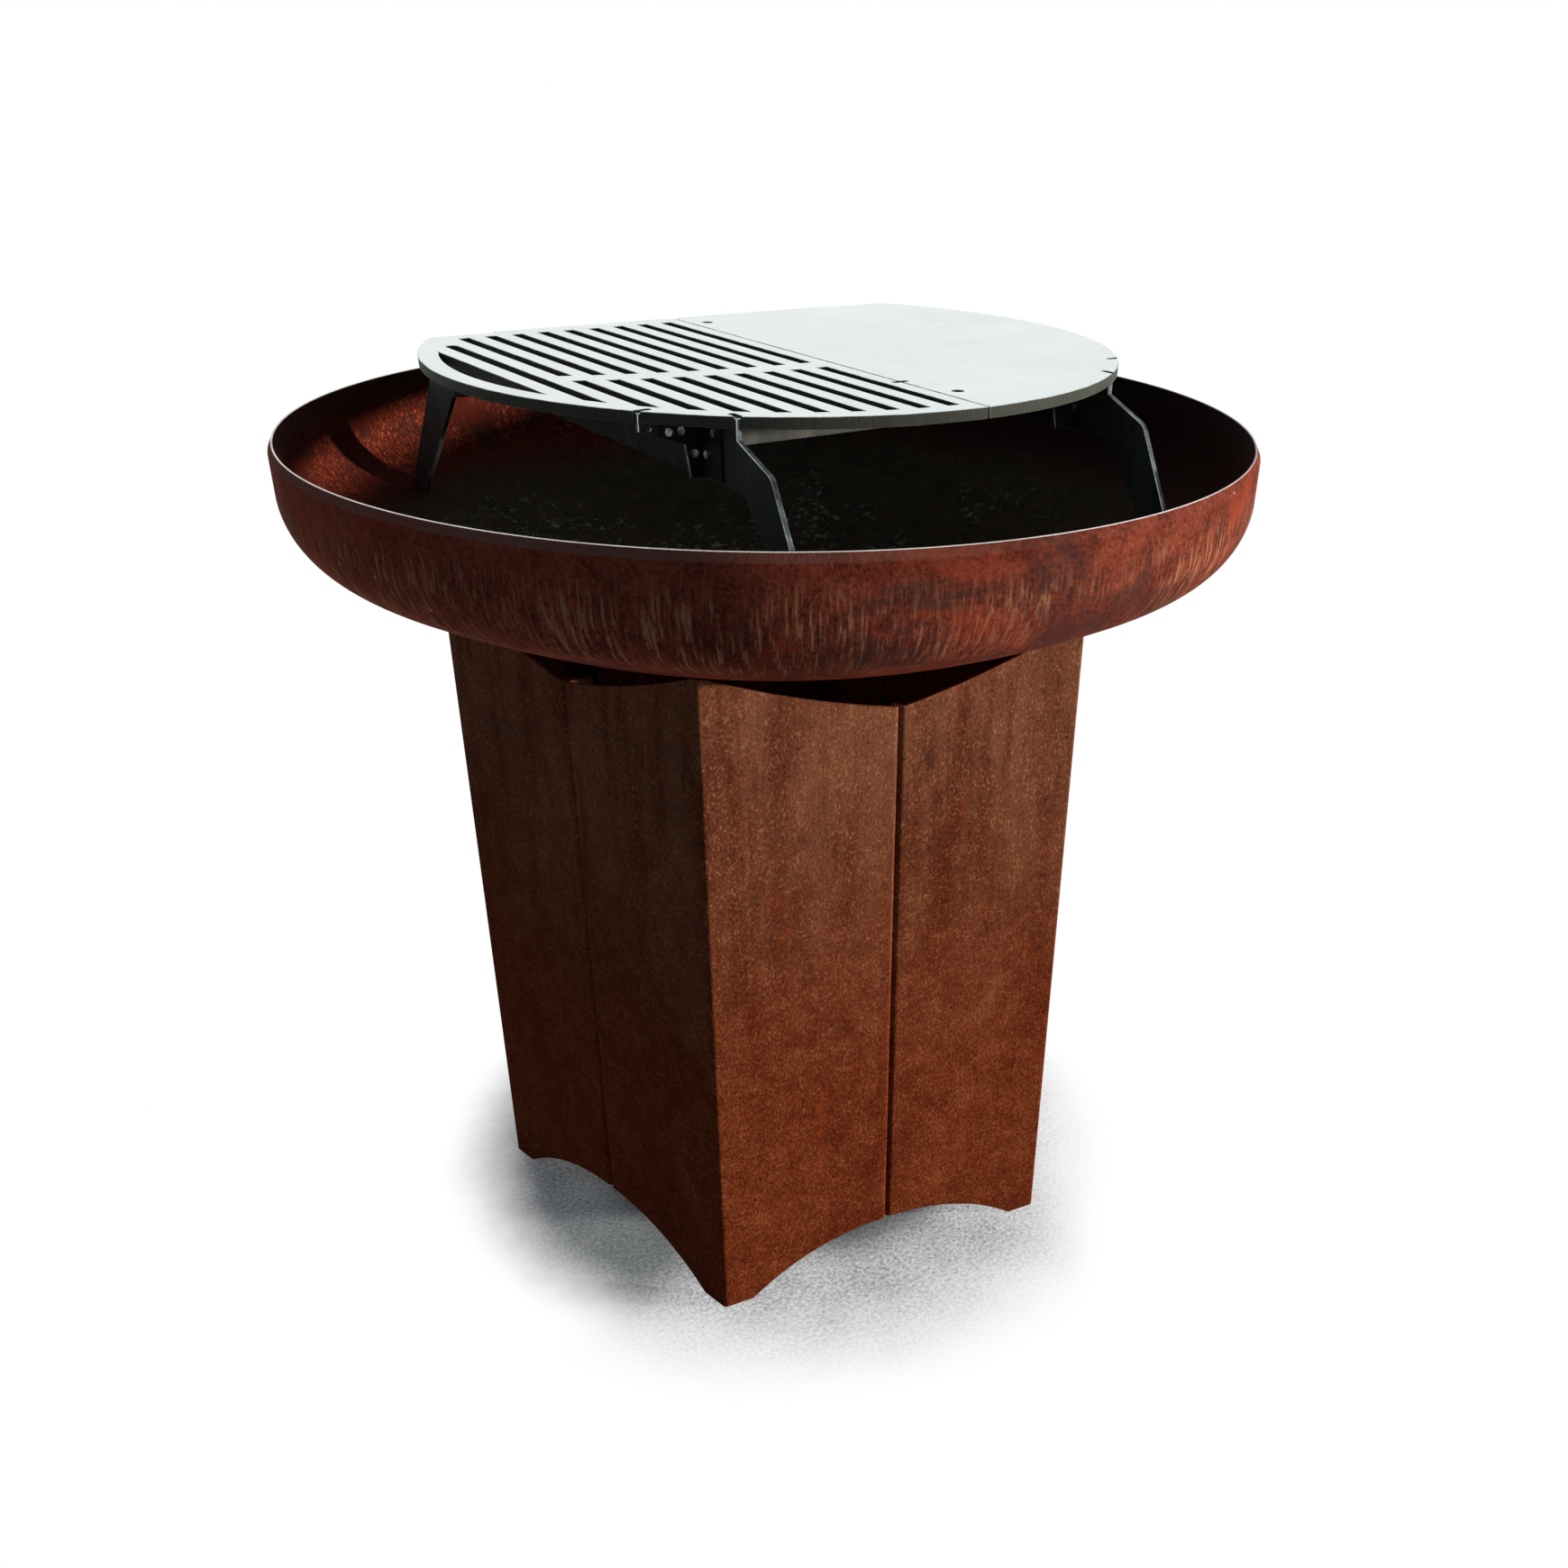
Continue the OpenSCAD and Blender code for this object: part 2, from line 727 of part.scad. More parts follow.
module grate_slots() {
    last = slot_count - 1;
    edge = -seam_strip - (slot_count + 1) * slot_pitch;
    long_x = edge + slot_pitch - slot_w;
    long_y = sqrt(pow(slot_r, 2) - pow(long_x, 2)) - long_slot_cut;
    intersection() {
        slot_strips(0, last);
        web_disc(web_y);
        translate([-plate_r, -plate_r]) square([plate_d, plate_r + chord_y - chord_strip]);
    }
    intersection() {
        difference() {
            slot_strips(0, last);
            web_disc(web_y + web_w);
            translate([-plate_r, 0]) square([plate_d, plate_r]);
        }
        circle(slot_r);
    }
    intersection() {
        union() {
            translate([long_x, -plate_r]) square([slot_w, plate_r + long_y]);
            translate([long_x + slot_w / 2, long_y]) circle(slot_w / 2);
        }
        circle(slot_r);
    }
    intersection() {
        translate([edge - plate_r, -plate_r]) square([plate_r, plate_d]);
        circle(slot_r);
    }
}

module grate_plate() {
    color("gainsboro")
    translate([0, 0, plate_low]) linear_extrude(plate_t)
    difference() {
        half_outline(-1);
        grate_slots();
    }
}

module griddle_plate() {
    color("gainsboro")
    difference() {
        translate([0, 0, plate_low]) linear_extrude(plate_t) half_outline(1);
        for (p = lift_holes)
            translate([p[0], p[1], plate_low - over])
                cylinder(h = plate_t + 2 * over, d = lift_hole_d);
    }
}

base_panel(0);  // base_panel_1
base_panel(1);  // base_panel_2
base_panel(2);  // base_panel_3
base_panel(3);  // base_panel_4
base_panel(4);  // base_panel_5
base_bolts();
base_washers();
base_nuts();
fire_bowl();
stand_side(-1);  // stand_side_left
stand_side(1);  // stand_side_right
stand_beam_front();
stand_beam_rear();
corner_bracket(-1, 0);  // bracket_front_left
corner_bracket(1, 0);  // bracket_front_right
corner_bracket(-1, 1);  // bracket_rear_left
corner_bracket(1, 1);  // bracket_rear_right
stand_screws();
stand_nuts();
grate_plate();
griddle_plate();
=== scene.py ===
"""Looks of the fire pit with its two-part grill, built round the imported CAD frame.

Everything is in metres in the frame of the CAD model: Z is up, the ground is z = 0, the
bowl's axis is the Z axis, and the seam of the cooking plates runs along Y.
"""

import logging
import math
from dataclasses import dataclass, field
from enum import Enum
from typing import Any, Iterable, Union

import bmesh
import bpy
import numpy as np
from mathutils import Matrix, Vector


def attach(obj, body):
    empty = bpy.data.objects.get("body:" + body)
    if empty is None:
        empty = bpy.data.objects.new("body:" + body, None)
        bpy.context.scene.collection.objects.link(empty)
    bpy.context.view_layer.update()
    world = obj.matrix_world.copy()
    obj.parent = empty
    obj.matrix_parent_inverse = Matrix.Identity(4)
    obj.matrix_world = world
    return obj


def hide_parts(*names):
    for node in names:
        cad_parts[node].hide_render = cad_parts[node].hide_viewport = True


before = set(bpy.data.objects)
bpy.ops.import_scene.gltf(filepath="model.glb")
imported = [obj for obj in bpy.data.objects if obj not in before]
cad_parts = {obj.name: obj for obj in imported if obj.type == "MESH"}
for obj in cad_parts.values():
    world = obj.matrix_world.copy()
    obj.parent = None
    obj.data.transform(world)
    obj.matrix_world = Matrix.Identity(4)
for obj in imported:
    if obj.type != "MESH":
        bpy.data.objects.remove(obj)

LOG = logging.getLogger("fire_pit")
Triple = tuple[float, float, float]
Span = tuple[float, float]
Paint = tuple[float, float, float, float]
Number = Union[float, int]
WHITE: Paint = (1.0, 1.0, 1.0, 1.0)


class Side(Enum):
    """The two faces of the bowl's wall."""

    OUTSIDE = 0.0
    INSIDE = 1.0


class Lie(Enum):
    """How a sheet lies: the axis that its flat faces look along, or folded upright."""

    ACROSS = 0
    ALONG = 1
    LEVEL = 2
    FOLDED = 3


class Coat(Enum):
    """Material slots of a worn sheet."""

    FACE = 0
    EDGE = 1
    CUT = 2


def linear(red: int, green: int, blue: int) -> Paint:
    """Turn a screen colour into the linear colour that a shader takes.

    Args:
        red: Red from 0 to 255.
        green: Green from 0 to 255.
        blue: Blue from 0 to 255.

    Returns:
        Linear red, green, blue and an alpha of 1.
    """

    def channel(value: int) -> float:
        """Undo the screen curve for one channel."""
        share = value / 255
        return share / 12.92 if share <= 0.04045 else ((share + 0.055) / 1.055) ** 2.4

    return channel(red), channel(green), channel(blue), 1.0


class Value:
    """A number that varies over a surface, with Python's operators as Math nodes."""

    def __init__(self, bench: "Bench", socket: bpy.types.NodeSocket) -> None:
        """Keep the bench that makes the nodes and the socket that holds the number."""
        self.bench = bench
        self.socket = socket

    def _math(self, operation: str, *inputs: Any) -> "Value":
        """Add one Math node and give its result."""
        node = self.bench.node("ShaderNodeMath", {"operation": operation}, *inputs)
        return Value(self.bench, node.outputs[0])

    def __add__(self, other: Any) -> "Value":
        """Sum."""
        return self._math("ADD", self, other)

    def __radd__(self, other: Any) -> "Value":
        """Sum with the number first."""
        return self._math("ADD", other, self)

    def __sub__(self, other: Any) -> "Value":
        """Difference."""
        return self._math("SUBTRACT", self, other)

    def __rsub__(self, other: Any) -> "Value":
        """Difference with the number first."""
        return self._math("SUBTRACT", other, self)

    def __mul__(self, other: Any) -> "Value":
        """Product."""
        return self._math("MULTIPLY", self, other)

    def __rmul__(self, other: Any) -> "Value":
        """Product with the number first."""
        return self._math("MULTIPLY", other, self)

    def __pow__(self, other: Any) -> "Value":
        """Power."""
        return self._math("POWER", self, other)

    def angle(self, other: Any) -> "Value":
        """Angle whose tangent is this value over the other one."""
        return self._math("ARCTAN2", self, other)

    def sine(self) -> "Value":
        """Sine of the value in radians."""
        return self._math("SINE", self)

    def cosine(self) -> "Value":
        """Cosine of the value in radians."""
        return self._math("COSINE", self)

    def at_least(self, other: Any) -> "Value":
        """The larger of the two."""
        return self._math("MAXIMUM", self, other)

    def at_most(self, other: Any) -> "Value":
        """The smaller of the two."""
        return self._math("MINIMUM", self, other)

    def step(self, low: Number, high: Number) -> "Value":
        """Rise smoothly from 0 at low to 1 at high.

        Args:
            low: Where the rise starts.
            high: Where it ends; it may be below low, and the value then falls.

        Returns:
            The share between 0 and 1.
        """
        falling = high < low
        node = self.bench.node(
            "ShaderNodeMapRange",
            {"interpolation_type": "SMOOTHSTEP"},
            self,
            min(low, high),
            max(low, high),
            1.0 if falling else 0.0,
            0.0 if falling else 1.0,
        )
        return Value(self.bench, node.outputs[0])


class Bench:
    """Makes the nodes of a material or of the surround, and joins them."""

    def __init__(
        self, owner: Union[bpy.types.Material, bpy.types.World], output: str
    ) -> None:
        """Clear the owner's nodes and add its output.

        Args:
            owner: The material or the world that the nodes belong to.
            output: Blender's name of the output node's type.
        """
        owner.use_nodes = True
        self.tree = owner.node_tree
        self.tree.nodes.clear()
        self.output = self.node(output, {})

    def node(
        self, kind: str, settings: dict[str, Any], *inputs: Any, **named: Any
    ) -> bpy.types.Node:
        """Add a node.

        Args:
            kind: Blender's name of the node's type.
            settings: The node's own settings; "stops" gives a ramp's stops.
            inputs: Values or links of its sockets in their order; None skips one.
            named: Values or links of sockets by name, with _ for a space.

        Returns:
            The new node.
        """
        node = self.tree.nodes.new(kind)
        for key, value in settings.items():
            if key == "stops":
                self._stops(node, value)
            else:
                setattr(node, key, value)
        for socket, value in zip(node.inputs, inputs):
            self.set(socket, value)
        for key, value in named.items():
            self.set(node.inputs[key.replace("_", " ")], value)
        return node

    @staticmethod
    def _stops(node: bpy.types.Node, stops: list[tuple[float, Any]]) -> None:
        """Put the stops on a colour ramp, each a place and a colour."""
        elements = node.color_ramp.elements
        while len(elements) < len(stops):
            elements.new(0.5)
        for element, (place, colour) in zip(elements, stops):
            element.position = place
            element.color = colour

    def set(self, socket: bpy.types.NodeSocket, value: Any) -> None:
        """Link a socket, or set its own value.

        Args:
            socket: The socket to feed.
            value: A Value, a socket, a number or a colour; None leaves it alone.
        """
        if value is None:
            return
        if isinstance(value, Value):
            value = value.socket
        if isinstance(value, bpy.types.NodeSocket):
            self.tree.links.new(value, socket)
        else:
            socket.default_value = value

    def blend(self, share: Any, first: bpy.types.Node, second: bpy.types.Node) -> None:
        """Feed the output with a blend of two shaders.

        Args:
            share: 0 gives the first shader and 1 the second.
            first: Node of the first shader.
            second: Node of the second shader.
        """
        mix = self.node(
            "ShaderNodeMixShader", {}, share, first.outputs[0], second.outputs[0]
        )
        self.set(self.output.inputs["Surface"], mix.outputs[0])


class FinishBench(Bench):
    """A bench for one material, which starts with a Principled shader."""

    def __init__(self, name: str) -> None:
        """Start the material.

        Args:
            name: Name of the material.
        """
        self.material = bpy.data.materials.new(name)
        super().__init__(self.material, "ShaderNodeOutputMaterial")
        self.shader = self.node("ShaderNodeBsdfPrincipled", {})
        self.set(self.output.inputs["Surface"], self.shader.outputs[0])
        self.place = self.node("ShaderNodeTexCoord", {}).outputs["Object"]

    def axes(self) -> tuple[Value, Value, Value]:
        """Object coordinates X, Y and Z, in metres."""
        node = self.node("ShaderNodeSeparateXYZ", {}, self.place)
        return tuple(Value(self, out) for out in node.outputs)

    def vector(self, x: Any, y: Any, z: Any) -> bpy.types.NodeSocket:
        """A vector from three values."""
        return self.node("ShaderNodeCombineXYZ", {}, x, y, z).outputs[0]

    def stretched(
        self, scale: Triple, turn: Triple = (0.0, 0.0, 0.0)
    ) -> bpy.types.NodeSocket:
        """Object coordinates, stretched along the axes and then turned, in radians."""
        node = self.node(
            "ShaderNodeMapping",
            {"vector_type": "POINT"},
            self.place,
            Rotation=turn,
            Scale=scale,
        )
        return node.outputs[0]

    def noise(
        self,
        per_metre: float,
        detail: float = 4.0,
        rough: float = 0.55,
        at: Any = None,
        warp: float = 0.0,
    ) -> Value:
        """Cloudy noise between 0 and 1, about 0.5 on average.

        Args:
            per_metre: How many clouds lie on a metre.
            detail: Number of finer layers.
            rough: Weight of the finer layers.
            at: Coordinates; the object's own if left out.
            warp: How far the noise is bent by itself.

        Returns:
            The noise as a value.
        """
        node = self.node(
            "ShaderNodeTexNoise",
            {"noise_dimensions": "3D"},
            Vector=self.place if at is None else at,
            Scale=per_metre,
            Detail=detail,
            Roughness=rough,
            Distortion=warp,
        )
        return Value(self, node.outputs[0])

    def cells(self, per_metre: float, at: Any = None) -> Value:
        """Distance from the nearest of many scattered points, in cell sizes."""
        node = self.node(
            "ShaderNodeTexVoronoi",
            {"feature": "F1"},
            Vector=self.place if at is None else at,
            Scale=per_metre,
        )
        return Value(self, node.outputs["Distance"])

    def ramp(self, value: Value, stops: list[tuple[float, Any]]) -> bpy.types.NodeSocket:
        """Colours laid along a value from 0 to 1."""
        return self.node("ShaderNodeValToRGB", {"stops": stops}, value).outputs[0]

    def mix(self, share: Any, first: Any, second: Any) -> bpy.types.NodeSocket:
        """Blend two colours.

        Args:
            share: 0 gives the first colour and 1 the second.
            first: A colour or a colour socket.
            second: A colour or a colour socket.

        Returns:
            The blended colour's socket.
        """
        node = self.node("ShaderNodeMix", {"data_type": "RGBA"})
        self.set(node.inputs[0], share)
        self.set(node.inputs[6], first)
        self.set(node.inputs[7], second)
        return node.outputs[2]

    def bump(self, height: Value, depth: float, under: Any = None) -> bpy.types.NodeSocket:
        """Relief of the surface.

        Args:
            height: Height between 0 and 1.
            depth: Depth in metres of a height of 1.
            under: A normal that the relief lies on.

        Returns:
            The normal's socket.
        """
        node = self.node("ShaderNodeBump", {}, Distance=depth, Height=height, Normal=under)
        return node.outputs[0]

    def finish(
        self,
        colour: Any,
        rough: Any,
        metal: Any = 0.0,
        normal: Any = None,
        shine: float = 0.5,
    ) -> bpy.types.Material:
        """Feed the shader.

        Args:
            colour: Base colour.
            rough: Roughness.
            metal: Metallic share.
            normal: Normal socket, if there is relief.
            shine: Specular level of the part that isn't metallic.

        Returns:
            The finished material.
        """
        self.shader.inputs["Specular IOR Level"].default_value = shine
        self.set(self.shader.inputs["Base Color"], colour)
        self.set(self.shader.inputs["Roughness"], rough)
        self.set(self.shader.inputs["Metallic"], metal)
        self.set(self.shader.inputs["Normal"], normal)
        return self.material


@dataclass(frozen=True)
class BasePatina:
    """Rust patina of the folded base: dense fine grains over soft clouds, paler upwards."""

    deep: Paint = linear(70, 24, 9)
    body: Paint = linear(124, 52, 24)
    pale: Paint = linear(168, 94, 56)
    tan: Paint = linear(166, 112, 82)
    umber: Paint = linear(84, 56, 40)
    salt: Paint = linear(206, 154, 120)
    soot: Paint = linear(44, 30, 24)
    orange: Paint = linear(160, 66, 26)
    # painted shade: the colour that darkens the inside of the hollow column
    inner: Paint = linear(18, 12, 10)
    upper_z: Span = (0.25, 0.70)
    blot_z: Span = (0.40, 0.66)
    faces: tuple[float, ...] = (46.0, 118.0, 190.0, 262.0, 334.0)
    face_span: Span = (0.280, 0.274)
    grain_m: float = 0.0008
    shine: float = 0.03

    def reach(self, x: Value, y: Value) -> Value:
        """The largest of a point's distances along the normals of the five faces."""
        turns = [math.radians(face) for face in self.faces]
        reach = x * math.cos(turns[0]) + y * math.sin(turns[0])
        for turn in turns[1:]:
            reach = reach.at_least(x * math.cos(turn) + y * math.sin(turn))
        return reach

    def material(self) -> bpy.types.Material:
        """Make the material.

        The inside of the column is darkened with painted shade. It begins where the reach of
        a point falls through face_span, which lies just behind the panels' outer faces.
        """
        bench = FinishBench("base_patina")
        x, y, z = bench.axes()
        clouds = bench.noise(5.0, 5.0, 0.6, warp=0.5)
        mottle = bench.noise(38.0, 5.0, 0.66)
        speck = bench.noise(390.0, 3.0, 0.74, at=bench.stretched((1.0, 1.0, 0.7)))
        runs = bench.noise(12.0, 4.0, 0.6, at=bench.stretched((3.0, 3.0, 0.35)))
        tone = clouds * 0.35 + mottle * 0.40 + speck * 1.05 - 0.40
        colour = bench.ramp(
            tone, [(0.26, self.deep), (0.50, self.body), (0.76, self.pale)]
        )
        top = (z + (clouds - 0.5) * 0.25).step(*self.upper_z)
        colour = bench.mix(top * runs.step(0.28, 0.60) * 0.45, colour, self.tan)
        colour = bench.mix(top * runs.step(0.56, 0.36) * 0.30, colour, self.umber)
        grains = speck.step(0.55, 0.66) * mottle.step(0.34, 0.62)
        colour = bench.mix(grains * (0.10 + top * 0.55), colour, self.salt)
        pits = speck.step(0.45, 0.36) * mottle.step(0.62, 0.40)
        colour = bench.mix(pits * (0.25 + top * 0.35), colour, self.soot)
        blots = bench.noise(7.0, 5.0, 0.65, warp=0.9).step(0.56, 0.70)
        colour = bench.mix(blots * z.step(*self.blot_z) * 0.55, colour, self.soot)
        low = bench.stretched((2.0, 2.0, 0.6))
        flush = bench.noise(13.0, 4.0, 0.66, at=low, warp=0.6).step(0.60, 0.74)
        colour = bench.mix(flush * 0.4, colour, self.orange)
        # painted shade: the inside of the column, behind the panels, is darkened
        inside = self.reach(x, y).step(*self.face_span)
        colour = bench.mix(inside * 0.85, colour, self.inner)
        relief = bench.bump(mottle * 0.3 + speck * 0.7, self.grain_m)
        return bench.finish(colour, 0.75 + speck * 0.2, 0.0, relief, self.shine)


@dataclass(frozen=True)
class BowlPatina:
    """Rust patina of the bowl: redder, with short upright streaks and a burnt inside with
    painted shade.

    A span is where a mask rises from 0 to 1 along the axis in its name, or along the
    distance r from the bowl's axis. It falls instead if its second number is lower.
    """

    red: Paint = linear(182, 86, 60)
    dark: Paint = linear(94, 38, 26)
    tan: Paint = linear(206, 146, 104)
    slate: Paint = linear(52, 42, 42)
    flame: Paint = linear(186, 72, 44)
    low: Paint = linear(118, 50, 26)
    lining: Paint = linear(62, 25, 18)
    ember: Paint = linear(102, 34, 19)
    # real scorch, and also the colour of the painted shade on the inside wall
    scorch_and_shade: Paint = linear(40, 32, 29)
    flake: Paint = linear(204, 98, 62)
    burnt: Paint = linear(52, 46, 36)
    bed: Paint = linear(88, 72, 54)
    ash: Paint = linear(236, 214, 176)
    # paler steel of the bevel, also standing in for a painted sky sheen on it
    bevel: Paint = linear(168, 112, 96)
    rim: Paint = linear(232, 228, 222)
    bevel_z: Span = (0.9118, 0.9126)
    # painted sheen: the bevel is paler towards the left
    bevel_sheen_x: Span = (0.05, -0.40)
    rim_z: Span = (0.9193, 0.9198)
    rim_x: Span = (-0.05, 0.42)
    streak_low_z: Span = (0.775, 0.825)
    streak_top_z: Span = (0.908, 0.872)
    under_z: Span = (0.81, 0.74)
    flake_y: Span = (0.10, 0.30)
    # painted shade: the inside wall is darkened just under the rim
    rim_shade_z: Span = (0.880, 0.912)
    # painted shade: the inside wall is darkened on the right, where its face is turned from
    # the sun
    right_shade_x: Span = (0.05, 0.38)
    # scorch and painted shade: the inside wall is darkened low down, near the bed
    char_and_shade_z: Span = (0.830, 0.785)
    bed_r: Span = (0.46, 0.40)
    ash_inner_r: Span = (0.08, 0.16)
    ash_outer_r: Span = (0.44, 0.30)
    grain_m: float = 0.0008
    shine: float = 0.04

    def material(self) -> bpy.types.Material:
        """Make the material."""
        bench = FinishBench("bowl_patina")
        x, y, z = bench.axes()
        around = y.angle(x)
        radius = (x * x + y * y) ** 0.5
        attribute = bench.node("ShaderNodeAttribute", {"attribute_name": "lining"})
        inside = Value(bench, attribute.outputs["Fac"])
        clouds = bench.noise(4.0, 5.0, 0.6, warp=0.6)
        mottle = bench.noise(34.0, 6.0, 0.68)
        speck = bench.noise(260.0, 4.0, 0.7)
        tone = clouds * 0.6 + mottle * 0.65 + speck * 0.85 - 0.55
        colour = bench.ramp(tone, [(0.32, self.dark), (0.66, self.red)])
        colour = self.outside(bench, colour, around, z, clouds, mottle)
        lining = self.inside(bench, (x, y, z), around, radius, clouds, mottle, speck)
        colour = bench.mix(inside, colour, lining)
        # the bevel is paler, most on the left: partly its own paler steel, partly painted
        # sheen of the sky
        lip = z.step(*self.bevel_z) * (1 - inside)
        pale = x.step(*self.bevel_sheen_x) * (clouds * 1.8 - 0.35).at_least(0.0)
        colour = bench.mix(lip * (pale + 0.08), colour, self.bevel)
        flat = z.step(*self.rim_z)
        bright = (0.7 + speck * 0.5).at_most(1.0) * (1 - x.step(*self.rim_x) * 0.6)
        colour = bench.mix(flat * bright * (0.45 + mottle), colour, self.rim)
        relief = bench.bump(mottle * 0.5 + speck * 0.5, self.grain_m)
        rough = 0.66 + speck * 0.25 - flat * 0.3
        return bench.finish(colour, rough, flat * 0.85, relief, self.shine)

    def outside(
        self,
        bench: FinishBench,
        colour: Any,
        around: Value,
        z: Value,
        clouds: Value,
        mottle: Value,
    ) -> bpy.types.NodeSocket:
        """Lay the streaks and stains of the outer wall over its colour.

        Args:
            bench: Where the nodes are made.
            colour: The colour under them.
            around: Angle round the bowl.
            z: Height.
            clouds: Large clouds.
            mottle: Small clouds.

        Returns:
            The colour's socket.
        """
        drawn_out = bench.vector(around.cosine() * 48.0, around.sine() * 48.0, z * 11.0)
        drawn = bench.noise(3.0, 4.0, 0.62, at=drawn_out, warp=0.5)
        band = z.step(*self.streak_low_z) * z.step(*self.streak_top_z)
        patches = bench.noise(9.0, 4.0, 0.6).step(0.34, 0.56)
        colour = bench.mix(drawn.step(0.52, 0.61) * band * patches * 0.72, colour, self.tan)
        colour = bench.mix(drawn.step(0.46, 0.38) * band * 0.55, colour, self.slate)
        stains = bench.noise(5.0, 6.0, 0.72, warp=0.9).step(0.50, 0.62)
        colour = bench.mix(stains * mottle.step(0.3, 0.6) * 0.7, colour, self.slate)
        flush = bench.noise(7.0, 4.0, 0.6, warp=0.5).step(0.52, 0.68)
        colour = bench.mix(flush * (1 - stains) * 0.5, colour, self.flame)
        colour = bench.mix(z.step(*self.under_z) * clouds * 0.8, colour, self.low)
        dots = bench.cells(30.0).step(0.055, 0.03) * mottle.step(0.46, 0.54)
        return bench.mix(dots * 0.8, colour, self.ash)

    def inside(
        self,
        bench: FinishBench,
        place: tuple[Value, Value, Value],
        around: Value,
        radius: Value,
        clouds: Value,
        mottle: Value,
        speck: Value,
    ) -> bpy.types.NodeSocket:
        """Colour of the burnt inside, with painted shade, from the rim down to the ash.

        Args:
            bench: Where the nodes are made.
            place: Object coordinates.
            around: Angle round the bowl.
            radius: Distance from the axis.
            clouds: Large clouds.
            mottle: Small clouds.
            speck: Fine grain.

        Returns:
            The colour's socket.
        """
        x, y, z = place
        wall = bench.mix((clouds * 1.8 - 0.5).at_least(0.0), self.lining, self.ember)
        rolled = bench.vector(around.cosine() * 70.0, around.sine() * 70.0, z * 70.0)
        flakes = bench.noise(3.0, 4.0, 0.75, at=rolled).step(0.50, 0.62)
        patches = bench.noise(7.0, 4.0, 0.6, warp=0.4).step(0.40, 0.56)
        facing = 0.08 + y.step(*self.flake_y) * 0.92
        wall = bench.mix(flakes * patches * facing * 0.65, wall, self.flake)
        wall = bench.mix(mottle.step(0.50, 0.34) * 0.6, wall, self.scorch_and_shade)
        # painted shade under the rim
        wall = bench.mix(z.step(*self.rim_shade_z) * 0.6, wall, self.scorch_and_shade)
        # painted shade on the right of the inside wall
        wall = bench.mix(x.step(*self.right_shade_x) * 0.7, wall, self.scorch_and_shade)
        # scorch and painted shade low on the inside wall
        wall = bench.mix(z.step(*self.char_and_shade_z) * 0.55, wall, self.scorch_and_shade)
        floor = (radius + (clouds - 0.5) * 0.14).step(*self.bed_r)
        bed = bench.mix(mottle.step(0.35, 0.7), self.burnt, self.bed)
        crumbs = bench.noise(90.0, 6.0, 0.8).step(0.54, 0.62)
        heaps = bench.noise(6.0, 5.0, 0.66, warp=0.5).step(0.48, 0.57)
        ring = radius.step(*self.ash_inner_r) * radius.step(*self.ash_outer_r)
        bed = bench.mix(crumbs * heaps * (0.08 + ring * 0.80), bed, self.ash)
        bed = bench.mix(speck.step(0.66, 0.76) * 0.3, bed, self.ash)
        return bench.mix(floor, wall, bed)


@dataclass(frozen=True)
class CookingSteel:
    """Satin steel of the cooking plates' faces, brushed along one axis."""

    name: str
    along: Triple
    dull: Paint = linear(206, 214, 213)
    bright: Paint = linear(238, 244, 242)
    spot: Paint = linear(150, 150, 144)
    worn: Paint = linear(176, 184, 182)
    scratch_m: float = 0.00003

    def material(self) -> bpy.types.Material:
        """Make the material."""
        bench = FinishBench(self.name)
        lines = bench.noise(1.0, 3.0, 0.6, at=bench.stretched(self.along))
        clouds = bench.noise(7.0, 5.0, 0.62, warp=0.6)
        spots = bench.noise(90.0, 4.0, 0.7).step(0.62, 0.74)
        colour = bench.mix(lines * 0.5 + clouds * 0.6, self.dull, self.bright)
        colour = bench.mix(spots * 0.12, colour, self.spot)
        wear = bench.noise(3.0, 5.0, 0.66, warp=1.0).step(0.58, 0.74)
        colour = bench.mix(wear * 0.16, colour, self.worn)
        rough = 0.36 + clouds * 0.14 + lines * 0.08
        relief = bench.bump(lines, self.scratch_m)
        return bench.finish(colour, rough, 1.0, relief)


@dataclass(frozen=True)
class DarkCut:
    """Dark, laser-cut sides of the cooking plates, finely ribbed upright."""

    dark: Paint = linear(22, 25, 25)
    pale: Paint = linear(98, 96, 84)
    ribbed: Triple = (420.0, 420.0, 12.0)
    rib_m: float = 0.0001

    def material(self) -> bpy.types.Material:
        """Make the material."""
        bench = FinishBench("plate_sides")
        ribs = bench.noise(1.0, 3.0, 0.6, at=bench.stretched(self.ribbed))
        clouds = bench.noise(14.0, 4.0, 0.6)
        colour = bench.mix(ribs * 0.6 + clouds * 0.5, self.dark, self.pale)
        relief = bench.bump(ribs, self.rib_m)
        return bench.finish(colour, 0.5 + ribs * 0.2, 0.06, relief, 0.08)


@dataclass(frozen=True)
class WornEdge:
    """Steel where an edge has been broken or cut, bright where it is rubbed."""

    name: str
    dull: Paint = linear(96, 104, 104)
    bright: Paint = linear(222, 232, 230)
    metal: float = 0.9
    nick_m: float = 0.0001

    def material(self) -> bpy.types.Material:
        """Make the material."""
        bench = FinishBench(self.name)
        rubbed = bench.noise(34.0, 4.0, 0.68)
        nicks = bench.noise(220.0, 3.0, 0.7)
        tone = (rubbed * 3.0 + nicks * 0.8 - 1.45).at_least(0.0).at_most(1.0)
        colour = bench.mix(tone, self.dull, self.bright)
        relief = bench.bump(nicks, self.nick_m)
        return bench.finish(colour, 0.42 + nicks * 0.2, self.metal, relief, 0.3)


